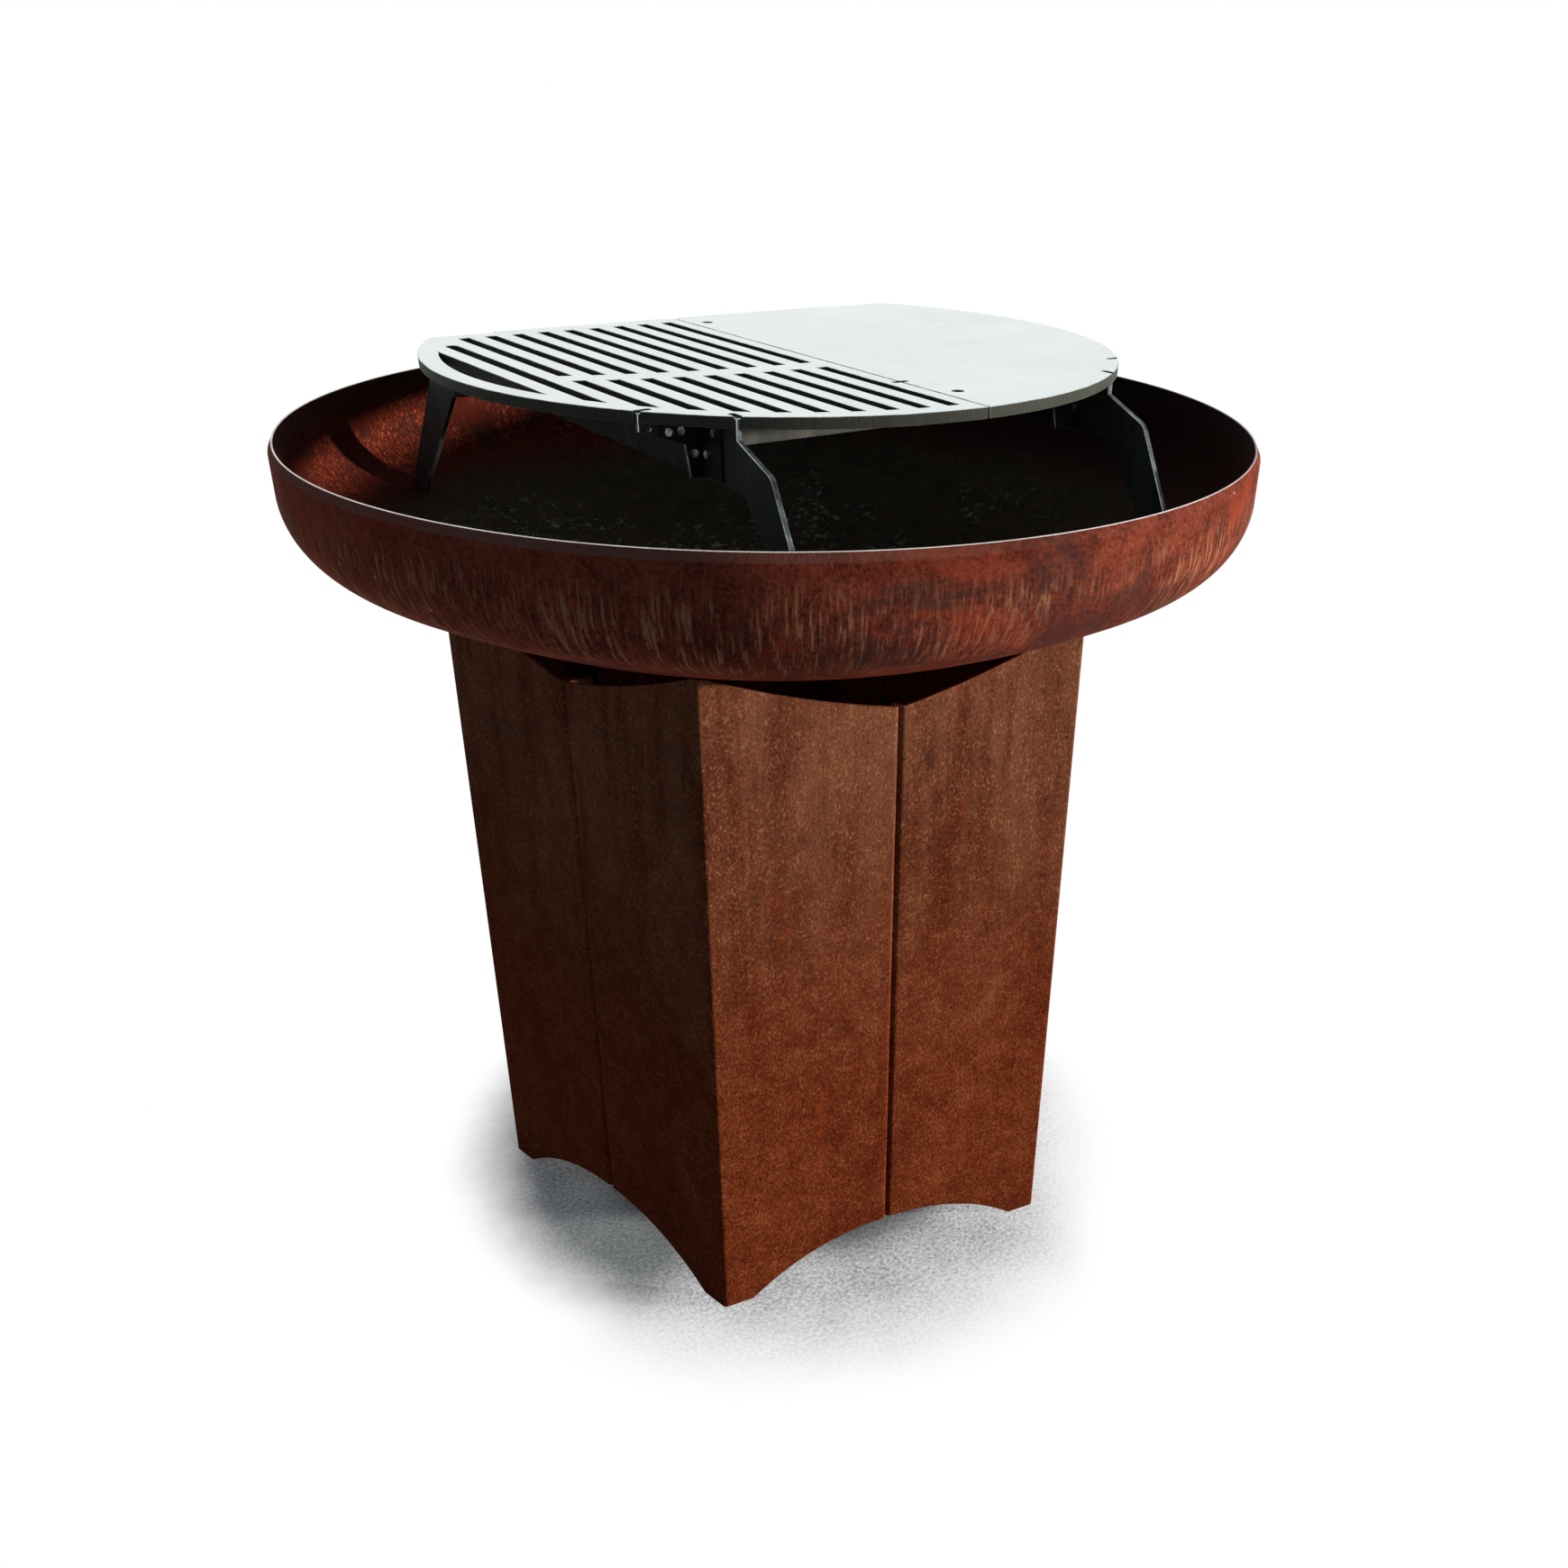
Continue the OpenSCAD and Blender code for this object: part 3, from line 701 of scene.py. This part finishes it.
@dataclass(frozen=True)
class MillScaleSteel:
    """Dark steel sheet of the stand, with a bluish scale and faint slanted bands."""

    dark: Paint = linear(26, 30, 32)
    pale: Paint = linear(108, 107, 98)
    band: Paint = linear(128, 122, 110)
    dust: Paint = linear(130, 122, 108)
    scale: Paint = linear(30, 36, 42)
    slant: Triple = (0.6, 0.6, 0.0)
    swept: Triple = (18.0, 18.0, 2.0)
    grain_m: float = 0.0002

    def material(self) -> bpy.types.Material:
        """Make the material."""
        bench = FinishBench("mill_scale_steel")
        clouds = bench.noise(12.0, 5.0, 0.6, warp=0.5)
        runs = bench.noise(7.0, 4.0, 0.62, at=bench.stretched((6.0, 6.0, 0.6)))
        grain = bench.noise(260.0, 3.0, 0.7)
        colour = bench.mix(clouds * 0.5 + runs * 0.6, self.dark, self.pale)
        swept = bench.stretched(self.swept, self.slant)
        bands = bench.noise(1.4, 3.0, 0.5, at=swept).step(0.52, 0.68)
        colour = bench.mix(bands * 0.3, colour, self.band)
        colour = bench.mix(grain.step(0.58, 0.75) * 0.3, colour, self.dust)
        scale = bench.noise(20.0, 5.0, 0.7, warp=0.8).step(0.56, 0.66)
        colour = bench.mix(scale * 0.5, colour, self.scale)
        relief = bench.bump(grain * 0.6 + clouds * 0.4, self.grain_m)
        return bench.finish(colour, 0.5 + clouds * 0.2, 0.05, relief, 0.06)


@dataclass(frozen=True)
class BlackCoat:
    """Thin black coat of the corner brackets."""

    dark: Paint = linear(10, 11, 12)
    pale: Paint = linear(34, 34, 35)
    grain_m: float = 0.00015

    def material(self) -> bpy.types.Material:
        """Make the material."""
        bench = FinishBench("black_coat")
        grain = bench.noise(300.0, 3.0, 0.6)
        colour = bench.mix(bench.noise(30.0, 4.0, 0.6), self.dark, self.pale)
        relief = bench.bump(grain, self.grain_m)
        return bench.finish(colour, 0.42 + grain * 0.15, 0.0, relief, 0.1)


@dataclass(frozen=True)
class ZincPlate:
    """Zinc plated screws, bolts, washers and nuts."""

    dull: Paint = linear(96, 100, 104)
    bright: Paint = linear(212, 216, 214)

    def material(self) -> bpy.types.Material:
        """Make the material."""
        bench = FinishBench("zinc_plate")
        grain = bench.noise(200.0, 3.0, 0.6)
        colour = bench.mix(grain.step(0.35, 0.65), self.dull, self.bright)
        return bench.finish(colour, 0.25 + grain * 0.2, 0.9)


def dress(material: bpy.types.Material, objects: Iterable[bpy.types.Object]) -> None:
    """Give every slot of some objects one material.

    Args:
        material: The material.
        objects: The objects.
    """
    for item in objects:
        if not item.data.materials:
            item.data.materials.append(material)
        for slot in item.material_slots:
            slot.material = material


def direction(azimuth: float, height: float) -> Vector:
    """Unit vector (cos a cos h, sin a cos h, sin h), for azimuth a and height h.

    Args:
        azimuth: Degrees from +X towards +Y.
        height: Degrees above the ground.

    Returns:
        The vector.
    """
    a, h = math.radians(azimuth), math.radians(height)
    return Vector((math.cos(a) * math.cos(h), math.sin(a) * math.cos(h), math.sin(h)))


@dataclass
class WornSheet:
    """A merged copy of a CAD sheet, with its outer edges broken and rubbed bright.

    Angles are in degrees: an edge is broken above sharp, shaded sharp above smooth, and
    dissolved below flat. A flat sheet is cut where a normal has less than across_cut
    along the sheet's own axis, and a folded one where it has more than upright_cut.
    """

    node: str
    body: str
    slot: str
    lie: Lie
    chamfer: float = 0.0006
    weld: float = 2e-6
    flat: float = 0.4
    sharp: float = 40.0
    smooth: float = 30.0
    across_cut: float = 0.7
    upright_cut: float = 0.3

    def is_cut(self, normals: np.ndarray) -> np.ndarray:
        """Which faces were cut through the sheet's thickness.

        Args:
            normals: One normal for each face.

        Returns:
            True for each cut face.
        """
        if self.lie is Lie.FOLDED:
            return np.abs(normals[:, 2]) > self.upright_cut
        return np.abs(normals[:, self.lie.value]) < self.across_cut

    def merged(self) -> bmesh.types.BMesh:
        """The CAD sheet's triangles, joined at their corners and freed of flat edges."""
        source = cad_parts[self.node].data
        coords = np.empty(len(source.vertices) * 3)
        source.vertices.foreach_get("co", coords)
        corners = np.empty(len(source.loops), dtype=np.int32)
        source.loops.foreach_get("vertex_index", corners)
        rough = bpy.data.meshes.new("rough")
        rough.from_pydata(coords.reshape(-1, 3).tolist(), [], corners.reshape(-1, 3).tolist())
        work = bmesh.new()
        work.from_mesh(rough)
        bpy.data.meshes.remove(rough)
        bmesh.ops.remove_doubles(work, verts=work.verts, dist=self.weld)
        bmesh.ops.dissolve_limit(
            work, angle_limit=math.radians(self.flat), verts=work.verts, edges=work.edges
        )
        return work

    def build(self, finishes: list[bpy.types.Material]) -> bpy.types.Object:
        """Chamfer the copy's outer edges and dress it.

        Args:
            finishes: Materials of the faces, the broken edges and the cut sides.

        Returns:
            The sheet's object, which replaces its CAD node.
        """
        work = self.merged()
        limit = math.radians(self.sharp)
        edges = [
            edge
            for edge in work.edges
            if edge.is_manifold and edge.is_convex and edge.calc_face_angle(0.0) > limit
        ]
        bmesh.ops.bevel(
            work,
            geom=edges,
            offset=self.chamfer,
            offset_type="OFFSET",
            segments=1,
            profile=0.5,
            affect="EDGES",
            clamp_overlap=False,
            material=Coat.EDGE.value,
        )
        name = f"{self.node}_worn"
        mesh = bpy.data.meshes.new(name)
        work.to_mesh(mesh)
        work.free()
        for material in finishes:
            mesh.materials.append(material)
        count = len(mesh.polygons)
        normals, coats = np.empty(count * 3), np.empty(count, dtype=np.int32)
        mesh.polygons.foreach_get("normal", normals)
        mesh.polygons.foreach_get("material_index", coats)
        cut = self.is_cut(normals.reshape(-1, 3)) & (coats != Coat.EDGE.value)
        coats[cut] = Coat.CUT.value
        mesh.polygons.foreach_set("material_index", coats)
        mesh.shade_smooth()
        mesh.set_sharp_from_angle(angle=math.radians(self.smooth))
        sheet = bpy.data.objects.new(name, mesh)
        bpy.context.scene.collection.objects.link(sheet)
        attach(sheet, self.body)
        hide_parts(self.node)
        LOG.info("%s: %d faces, %d edges broken", name, count, len(edges))
        return sheet


@dataclass
class FireBowl:
    """The dished bowl, turned as one closed profile round the Z axis.

    The rim's corners are eased by steps of ease, and edges above smooth degrees are
    shaded sharp.
    """

    outer_r: float = 0.5
    wall: float = 0.006
    rim_z: float = 0.92
    skirt: float = 0.045
    knuckle_r: float = 0.07
    crown_r: float = 1.0
    bevel_w: float = 0.0042
    bevel_h: float = 0.008
    ease: float = 0.0004
    around: int = 288
    arc_steps: int = 44
    smooth: float = 24.0

    def arc(self, inset: float) -> np.ndarray:
        """Half of the wall's profile, from the middle of the bottom to the skirt.

        The crown is (crown_r - inset) * (sin a, -cos a) from the crown's centre, for a
        from 0 to the angle where it meets the knuckle. The knuckle is
        (knuckle_r - inset) * (sin b, -cos b) from its own centre, for b up to 90 degrees.

        Args:
            inset: Distance inside the outer face.

        Returns:
            Points (radius, height), from the middle outwards.
        """
        knuckle_x = self.outer_r - self.knuckle_r
        knuckle_z = self.rim_z - self.skirt
        reach = self.crown_r - self.knuckle_r
        meet = math.asin(knuckle_x / reach)
        crown_z = knuckle_z + reach * math.cos(meet)
        a = np.linspace(0.0, meet, self.arc_steps)
        b = np.linspace(meet, math.pi / 2, self.arc_steps // 2)[1:]
        crown = (self.crown_r - inset) * np.stack([np.sin(a), -np.cos(a)], 1)
        knuckle = (self.knuckle_r - inset) * np.stack([np.sin(b), -np.cos(b)], 1)
        return np.vstack([crown + [0.0, crown_z], knuckle + [knuckle_x, knuckle_z]])

    def profile(self) -> tuple[np.ndarray, np.ndarray]:
        """The closed profile from the outside bottom over the rim to the inside bottom.

        Returns:
            Points (radius, height) and, for each, 0 outside and 1 inside.
        """
        outer = self.arc(0.0)
        inner = self.arc(self.wall)[::-1]
        e, z = self.ease, self.rim_z
        outer_r, inner_r = self.outer_r, self.outer_r - self.wall
        top_r = outer_r - self.bevel_w
        bevel = [
            [outer_r, z - self.bevel_h - 2.0 * e],
            [outer_r - 0.75 * e, z - self.bevel_h + e],
            [top_r + 0.5 * e, z - 1.5 * e],
            [top_r - 0.75 * e, z],
        ]
        lip = [[inner_r + e, z], [inner_r, z - 1.25 * e], [inner_r, z - self.wall]]
        points = np.vstack([outer, bevel, lip, inner])
        lining = np.concatenate(
            [
                np.full(len(outer) + len(bevel), Side.OUTSIDE.value),
                np.full(len(lip) + len(inner), Side.INSIDE.value),
            ]
        )
        return points, lining

    def build(self) -> bpy.types.Object:
        """Turn the profile into a closed mesh.

        Point (i, j) is profile point i turned by 2 pi j / around. The first and the last
        profile point lie on the axis and are single vertices.

        Returns:
            The bowl's object.
        """
        points, lining = self.profile()
        rings, n = len(points) - 2, self.around
        turn = np.arange(n) * 2 * math.pi / n
        ring = points[1:-1]
        coords = np.empty((rings, n, 3))
        coords[:, :, 0] = ring[:, :1] * np.cos(turn)
        coords[:, :, 1] = ring[:, :1] * np.sin(turn)
        coords[:, :, 2] = ring[:, 1:2]
        poles = [[0.0, 0.0, points[0, 1]], [0.0, 0.0, points[-1, 1]]]
        verts = np.vstack([coords.reshape(-1, 3), poles])
        i, j = np.meshgrid(np.arange(rings - 1), np.arange(n), indexing="ij")
        k = (j + 1) % n
        quads = np.stack([i * n + j, i * n + k, (i + 1) * n + k, (i + 1) * n + j], -1)
        low, high = rings * n, rings * n + 1
        j = np.arange(n)
        k = (j + 1) % n
        last = (rings - 1) * n
        fans = [(low, int(b), int(a)) for a, b in zip(j, k)]
        fans += [(high, int(last + a), int(last + b)) for a, b in zip(j, k)]
        mesh = bpy.data.meshes.new("fire_bowl_turned")
        mesh.from_pydata(verts.tolist(), [], quads.reshape(-1, 4).tolist() + fans)
        mesh.update()
        share = mesh.attributes.new("lining", "FLOAT", "POINT")
        values = np.concatenate([np.repeat(lining[1:-1], n), [lining[0], lining[-1]]])
        share.data.foreach_set("value", values.astype(np.float32))
        mesh.shade_smooth()
        mesh.set_sharp_from_angle(angle=math.radians(self.smooth))
        bowl = bpy.data.objects.new("fire_bowl_turned", mesh)
        bpy.context.scene.collection.objects.link(bowl)
        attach(bowl, "bowl")
        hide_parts("fire_bowl")
        dress(BowlPatina().material(), [bowl])
        LOG.info("bowl: %d vertices", len(verts))
        return bowl


@dataclass
class Pedestal:
    """The folded base with its bolted seams."""

    panels: int = 5
    fasteners: tuple[str, ...] = ("base_bolts", "base_washers", "base_nuts")

    def build(self) -> None:
        """Dress the panels and their bolts."""
        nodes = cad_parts
        patina = BasePatina().material()
        dress(patina, [nodes[f"base_panel_{i + 1}"] for i in range(self.panels)])
        dress(ZincPlate().material(), [nodes[name] for name in self.fasteners])
        LOG.info("pedestal: %d panels", self.panels)


@dataclass
class GrillStand:
    """The slotted sheets, their brackets and screws."""

    sheets: dict[str, Lie] = field(
        default_factory=lambda: {
            "stand_side_left": Lie.ACROSS,
            "stand_side_right": Lie.ACROSS,
            "stand_beam_front": Lie.ALONG,
            "stand_beam_rear": Lie.FOLDED,
        }
    )
    brackets: tuple[str, ...] = (
        "bracket_front_left",
        "bracket_front_right",
        "bracket_rear_left",
        "bracket_rear_right",
    )
    fasteners: tuple[str, ...] = ("stand_screws", "stand_nuts")
    edge: WornEdge = WornEdge("sheet_edge")
    cut: WornEdge = WornEdge("sheet_cut", linear(20, 23, 24), linear(112, 122, 122), 0.4)

    def build(self) -> None:
        """Break the sheets' edges, and dress them, the brackets and the screws."""
        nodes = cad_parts
        finishes = [
            finish.material() for finish in (MillScaleSteel(), self.edge, self.cut)
        ]
        for node, lie in self.sheets.items():
            WornSheet(node, "stand", "stand_sheet", lie).build(finishes)
        dress(BlackCoat().material(), [nodes[name] for name in self.brackets])
        dress(ZincPlate().material(), [nodes[name] for name in self.fasteners])
        LOG.info("stand: %d sheets", len(self.sheets))


@dataclass
class CookingPlates:
    """The grate half and the griddle half, each brushed its own way."""

    brushed: dict[str, Triple] = field(
        default_factory=lambda: {"grate": (240.0, 6.0, 240.0), "griddle": (6.0, 240.0, 240.0)}
    )
    chamfer: float = 0.0004

    def build(self) -> None:
        """Break the plates' edges and dress them."""
        edge = WornEdge("plate_edge").material()
        side = DarkCut().material()
        for body, along in self.brushed.items():
            face = CookingSteel(f"{body}_steel", along).material()
            plate = WornSheet(f"{body}_plate", body, "cooking_steel", Lie.LEVEL, self.chamfer)
            plate.build([face, edge, side])


@dataclass
class PhotoCamera:
    """The camera: place in metres, angles in degrees, and picture sizes in pixels."""

    place: Triple = (-0.87777, -1.4094, 1.24712)
    heading: float = 36.69
    tilt: float = 32.04
    roll: float = 1.56
    focal_px: float = 1673.47
    centre_px: Span = (989.08, 1105.61)
    frame_px: float = 1740.0
    sensor_mm: float = 36.0

    def build(self) -> bpy.types.Object:
        """Make the camera that the picture is taken with.

        The view direction is (sin h cos t, cos h cos t, -sin t), for heading h from +Y
        towards +X and tilt t below the horizon. The roll turns right and up about it.

        Returns:
            The camera's object.
        """
        h, t, r = (math.radians(v) for v in (self.heading, self.tilt, self.roll))
        ahead = Vector(
            (math.sin(h) * math.cos(t), math.cos(h) * math.cos(t), -math.sin(t))
        )
        level = Vector((math.cos(h), -math.sin(h), 0.0))
        above = level.cross(ahead)
        right = math.cos(r) * level + math.sin(r) * above
        up = -math.sin(r) * level + math.cos(r) * above
        data = bpy.data.cameras.new("photo_camera")
        data.sensor_width = self.sensor_mm
        data.lens = self.focal_px / self.frame_px * self.sensor_mm
        half = self.frame_px / 2
        data.shift_x = (half - self.centre_px[0]) / self.frame_px
        data.shift_y = (self.centre_px[1] - half) / self.frame_px
        camera = bpy.data.objects.new("photo_camera", data)
        turn = Matrix((right, up, -ahead)).transposed()
        camera.matrix_world = Matrix.Translation(self.place) @ turn.to_4x4()
        bpy.context.scene.collection.objects.link(camera)
        bpy.context.scene.camera = camera
        return camera


@dataclass
class Studio:
    """Pale floor that fades to white, white surround, a low sun, and a fill lamp behind."""

    floor_half: float = 12.0
    floor_dark: Paint = linear(176, 186, 186)
    floor_pale: Paint = linear(240, 244, 242)
    fade_lit: Span = (0.31, 0.51)
    fade_shade: Span = (0.33, 0.46)
    ragged: float = 0.05
    right_x: Span = (0.10, 0.26)
    right_nearer: float = 0.06
    lit_way: Span = (0.35, -0.94)
    lit_span: Span = (0.02, 0.14)
    lift_r: Span = (0.22, 0.30)
    lift_lit: float = 0.32
    lift_shade: float = 0.065
    key_azimuth: float = 323.0
    key_height: float = 5.0
    key_away: float = 4.0
    key_strength: float = 3.6
    key_angle: float = 3.0
    key_colour: Triple = (1.0, 0.97, 0.93)
    fill_azimuth: float = 78.0
    fill_away: float = 1.9
    fill_z: float = 0.36
    fill_size: Span = (1.5, 0.6)
    fill_watts: float = 13.0
    shade: Paint = (0.038, 0.066, 0.096, 1.0)

    @staticmethod
    def seen(bench: Bench) -> Value:
        """1 where the camera, a reflection or a look through glass meets the surface."""
        rays = bench.node("ShaderNodeLightPath", {}).outputs
        camera, glossy, through = (
            Value(bench, rays[f"Is {kind} Ray"])
            for kind in ("Camera", "Glossy", "Transmission")
        )
        return camera.at_least(glossy).at_least(through)

    def whiteness(self, bench: FinishBench, tone: Value) -> Value:
        """How much of the floor is white where it is looked at.

        It rises from 0 to 1 over fade_lit on the side that the sun lights, and over
        fade_shade in the shade, with the distance from the Z axis. That distance is made
        ragged by noise and is taken as larger on the right. Nearer in, a lift adds some
        white, more in the light and on the paler grains. Whiteness w of the fade and l of
        the lift together give 1 - (1 - w) (1 - l).

        Args:
            bench: Where the nodes are made.
            tone: Dark and pale grains of the concrete.

        Returns:
            The share of white.
        """
        x, y, _ = bench.axes()
        radius = (x * x + y * y) ** 0.5 + x.step(*self.right_x) * self.right_nearer
        radius = radius + (bench.noise(5.0, 5.0, 0.7) - 0.5) * self.ragged
        lit = (x * self.lit_way[0] + y * self.lit_way[1]).step(*self.lit_span)
        edge = lit * radius.step(*self.fade_lit) + (1 - lit) * radius.step(*self.fade_shade)
        lift = (lit * self.lift_lit + self.lift_shade) * radius.step(*self.lift_r)
        lift = lift * (0.3 + tone.step(0.34, 0.64) * 1.4)
        return 1 - (1 - edge) * (1 - lift)

    def floor(self) -> bpy.types.Object:
        """Lay the floor of pale, pitted concrete.

        Returns:
            The floor's object.
        """
        half = self.floor_half
        mesh = bpy.data.meshes.new("floor")
        corners = [(-half, -half, 0), (half, -half, 0), (half, half, 0), (-half, half, 0)]
        mesh.from_pydata(corners, [], [(0, 1, 2, 3)])
        item = bpy.data.objects.new("floor", mesh)
        bpy.context.scene.collection.objects.link(item)
        bench = FinishBench("floor_concrete")
        clouds = bench.noise(9.0, 6.0, 0.65)
        grain = bench.noise(210.0, 5.0, 0.8)
        pits = bench.noise(90.0, 4.0, 0.75, warp=0.6).step(0.37, 0.30)
        tone = clouds * 0.2 + grain * 0.8 - pits * 0.3
        colour = bench.mix(tone.step(0.36, 0.62), self.floor_dark, self.floor_pale)
        bench.finish(colour, 0.95, 0.0, bench.bump(grain, 0.001), 0.1)
        white = bench.node("ShaderNodeEmission", {}, WHITE, 1.0)
        share = self.whiteness(bench, tone) * self.seen(bench)
        bench.blend(share, bench.shader, white)
        dress(bench.material, [item])
        return item

    @staticmethod
    def put_up(data: bpy.types.Light, place: Vector, toward: Vector) -> bpy.types.Object:
        """Put up a lamp.

        Args:
            data: The lamp's settings.
            place: Where it hangs.
            toward: Direction from what it lights to the lamp.

        Returns:
            The lamp's object.
        """
        lamp = bpy.data.objects.new(data.name, data)
        lamp.location = place
        lamp.rotation_euler = (-toward).to_track_quat("-Z", "Y").to_euler()
        bpy.context.scene.collection.objects.link(lamp)
        return lamp

    def sun(self) -> None:
        """Put up the key: a soft sun at its azimuth and height."""
        data = bpy.data.lights.new("key_lamp", "SUN")
        data.energy = self.key_strength
        data.angle = math.radians(self.key_angle)
        data.color = self.key_colour
        toward = direction(self.key_azimuth, self.key_height)
        self.put_up(data, toward * self.key_away, toward)

    def fill(self) -> None:
        """Put up a soft panel lamp behind, lower than the rim, for the views from there."""
        data = bpy.data.lights.new("fill_lamp", "AREA")
        data.shape = "RECTANGLE"
        data.size, data.size_y = self.fill_size
        data.energy = self.fill_watts
        toward = direction(self.fill_azimuth, 0.0)
        place = toward * self.fill_away + Vector((0.0, 0.0, self.fill_z))
        lamp = self.put_up(data, place, toward)
        lamp.visible_camera = lamp.visible_glossy = lamp.visible_transmission = False

    def world(self) -> None:
        """White where the camera and reflections look, and dimmer as a light."""
        world = bpy.data.worlds.new("surround")
        bpy.context.scene.world = world
        bench = Bench(world, "ShaderNodeOutputWorld")
        light = bench.node("ShaderNodeBackground", {}, self.shade)
        white = bench.node("ShaderNodeBackground", {}, WHITE)
        bench.blend(self.seen(bench), light, white)

    def build(self) -> None:
        """Put up floor, surround and lamps."""
        self.floor()
        self.world()
        self.sun()
        self.fill()
        bpy.context.scene.view_settings.view_transform = "Standard"
        LOG.info("studio: key %.1f at %.0f degrees", self.key_strength, self.key_azimuth)


def main() -> None:
    """Build every sub-assembly in order."""
    logging.basicConfig(level=logging.INFO, format="%(name)s: %(message)s")
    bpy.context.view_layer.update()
    PhotoCamera().build()
    Studio().build()
    Pedestal().build()
    FireBowl().build()
    GrillStand().build()
    CookingPlates().build()


if __name__ == "__main__":
    main()
